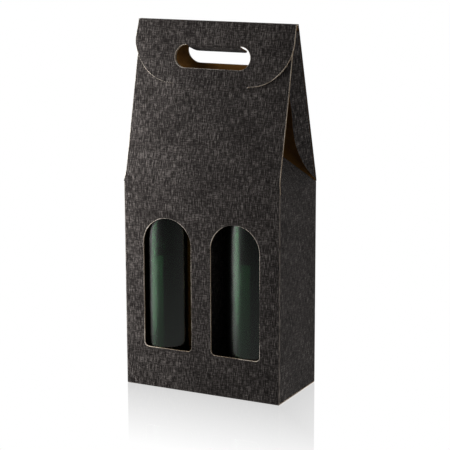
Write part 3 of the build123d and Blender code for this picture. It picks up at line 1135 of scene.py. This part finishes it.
def belly_profile(skin, neck):
    """Half section from the punt's top to the neck, taken in by skin. The shoulder is two arcs that meet
    on the line between their centres; both_radii is the sum of their radii."""
    body = bottle_radius - skin
    punt_round = (punt_radius**2 + punt_depth**2) / (2 * punt_depth)
    punt_end = degrees(asin((punt_round - punt_depth) / punt_round))
    rise = bottle_shoulder_height
    both_radii = ((body - neck) ** 2 + rise**2) / (2 * (body - neck))
    lower = bottle_shoulder_radius - skin
    upper = both_radii - lower
    meet = degrees(atan2(rise, neck + both_radii - body))
    return path(
        arc((0, skin + punt_depth - punt_round), punt_round, 90, punt_end, 12),
        line((punt_radius, skin), (body - bottle_heel, skin)),
        arc((body - bottle_heel, skin + bottle_heel), bottle_heel, -90, 0, 9),
        line((body, skin + bottle_heel), (body, bottle_body_height), 12 * MM),
        arc((body - lower, bottle_body_height), lower, 0, meet, 20),
        arc((neck + upper, shoulder_end), upper, 180 + meet, 180, 16),
    )


def glass_profile():
    """The outside from the punt to the lip and back down the inside."""
    inner = belly_profile(bottle_wall, bottle_bore_radius)
    lip_foot = bottle_height - bottle_lip_height
    lip_level = bottle_height - lip_round
    soft = lip_round / 2
    return path(
        belly_profile(0, bottle_neck_radius),
        line((bottle_neck_radius, shoulder_end), (bottle_neck_radius, lip_foot), 12 * MM),
        arc((bottle_lip_radius - soft, lip_foot + soft), soft, -90, 0, 5),
        arc((bottle_lip_radius - lip_round, lip_level), lip_round, 0, 90, 6),
        arc((bottle_bore_radius + lip_round, lip_level), lip_round, 90, 180, 6),
        line((bottle_bore_radius, lip_level), (bottle_bore_radius, shoulder_end), 12 * MM),
        inner[::-1],
    )


def wine_profile():
    bore = bottle_bore_radius - wine_gap
    level = bottle_height - cork_recess - cork_length - ullage
    return path(
        belly_profile(bottle_wall + wine_gap, bore), line((bore, shoulder_end), (bore, level)),
        np.array(((bore * 0.8, level - 0.3 * MM), (0, level - 0.4 * MM))),
    )


def cork_profile():
    radius = bottle_bore_radius - 0.02 * MM
    high = bottle_height - cork_recess
    low = high - cork_length
    return np.array((
        (0, low), (radius - cork_bevel, low), (radius, low + cork_bevel), (radius, high - cork_bevel),
        (radius - cork_bevel, high), (0, high),
    ))


glass, wine, bark = bottle_glass(), red_wine(), cork_bark()
for side, side_name in SIDES:
    foot = np.array((side * bottle_x, -half_depth + thick + bottle_gap + bottle_radius, 2 * thick))
    for kind, profile, material, slot in (
        ("bottle", glass_profile(), glass, "bottle_glass"),
        ("wine", wine_profile(), wine, "wine"),
        ("cork", cork_profile(), bark, "cork"),
    ):
        piece = turned(f"{side_name}_{kind}_shape", profile, foot, material)
        dressed(piece, "carton_body", f"{side_name}_{kind}")


# Camera at the photograph's place
camera_azimuth = radians(27.0)
camera_elevation = radians(12.1)
camera_roll = radians(-0.21)
camera_distance = 1.671
camera_aside = 4.9 * MM
camera_level = 171.8 * MM
camera_lens = 127.5


def make_camera():
    """Looks along (-sin az cos el, cos az cos el, -sin el) at the object's middle, turned by the roll."""
    ca, sa, ce, se = cos(camera_azimuth), sin(camera_azimuth), cos(camera_elevation), sin(camera_elevation)
    forward = np.array((-sa * ce, ca * ce, -se))
    level_right = np.array((ca, sa, 0.0))
    level_up = np.cross(level_right, forward)
    right = cos(camera_roll) * level_right + sin(camera_roll) * level_up
    up = -sin(camera_roll) * level_right + cos(camera_roll) * level_up
    place = np.array((0, 0, camera_level)) + camera_aside * right - camera_distance * forward
    data = bpy.data.cameras.new("camera")
    data.lens = camera_lens
    camera = bpy.data.objects.new("camera", data)
    columns = np.column_stack((right, up, -forward, place))
    camera.matrix_world = Matrix(np.vstack((columns, (0, 0, 0, 1))).tolist())
    scene.collection.objects.link(camera)
    scene.camera = camera


def area_light(name, place, target, size, watts, colour=(1, 1, 1)):
    data = bpy.data.lights.new(name, "AREA")
    data.shape = "RECTANGLE"
    data.size, data.size_y = size
    data.energy = watts
    data.color = colour
    lamp = bpy.data.objects.new(name, data)
    lamp.visible_glossy = False
    lamp.location = place
    lamp.rotation_euler = (Vector(target) - Vector(place)).to_track_quat("-Z", "Y").to_euler()
    scene.collection.objects.link(lamp)


def make_world():
    """White behind the object, dimmer where it lights it; mirrored rays find it dim near the horizon and
    white above."""
    world = bpy.data.worlds.new("studio")
    scene.world = world
    tree = emptied(world)
    rays = add(tree, "LightPath")
    seen = maths(tree, "MAXIMUM", rays.outputs["Is Camera Ray"], rays.outputs["Is Transmission Ray"])
    height = axes(tree, add(tree, "TexCoord").outputs["Generated"])[2]
    unseen = ranged(tree, rays.outputs["Is Glossy Ray"], start=room_light,
                    end=ranged(tree, height, 0.05, 0.15, room_shine))
    sky = add(tree, "Background", Color=(1, 1, 1, 1), Strength=ranged(tree, seen, start=unseen))
    shown(tree, sky, "OutputWorld")


def make_floor():
    """White floor: seen directly it is white with a faint mirror image that fades from the object."""
    material = bpy.data.materials.new("floor_white")
    tree = emptied(material)
    rays = add(tree, "LightPath")
    x, y, _ = axes(tree, add(tree, "TexCoord").outputs["Object"])
    aside = minus(tree, maths(tree, "ABSOLUTE", x), half_width)
    ahead = minus(tree, maths(tree, "ABSOLUTE", y), half_depth)
    away = maths(tree, "MAXIMUM", maths(tree, "MAXIMUM", aside, ahead), 0.0)
    sideways = ranged(tree, x, -0.62, -0.28, *floor_shine)
    strength = times(tree, sideways, ranged(tree, away, 0.15, 0.8, 1.0, 0.25))

    def mixture(share, a, b):
        return add(tree, "MixShader", Fac=share, i1=a.outputs[0], i2=b.outputs[0])

    def glow(strength):
        return add(tree, "Emission", Color=(1, 1, 1, 1), Strength=strength)

    mirror = add(tree, "BsdfGlossy", Color=(1, 1, 1, 1), Roughness=0.03)
    seen = mixture(ranged(tree, away, 0.0, 0.16, 0.34, 0.0), glow(1.0), mirror)
    unseen = mixture(rays.outputs["Is Glossy Ray"], glow(floor_light), glow(strength))
    shown(tree, mixture(rays.outputs["Is Camera Ray"], unseen, seen))
    reach = 6.0
    corners = np.array(((-1, -1), (1, -1), (1, 1), (-1, 1)))
    points = np.column_stack((reach * corners, np.full(4, -0.2 * MM)))
    floor = mesh_piece("floor", points, [[0, 1, 2, 3]], [material])


room_light = 0.10
room_shine = 0.2
floor_light = 0.45
floor_shine = (0.95, 0.4)

make_camera()
area_light("key", (-0.215, -0.15, 0.21), (-0.08, -0.045, 0.19), (0.1, 0.5), 2.25)
area_light("fill", (0.62, -0.08, 0.0), (0.09, 0.0, 0.09), (0.4, 0.1), 3.3, (0.97, 0.98, 1.0))
make_world()
make_floor()
bpy.context.scene.view_settings.view_transform = "Standard"
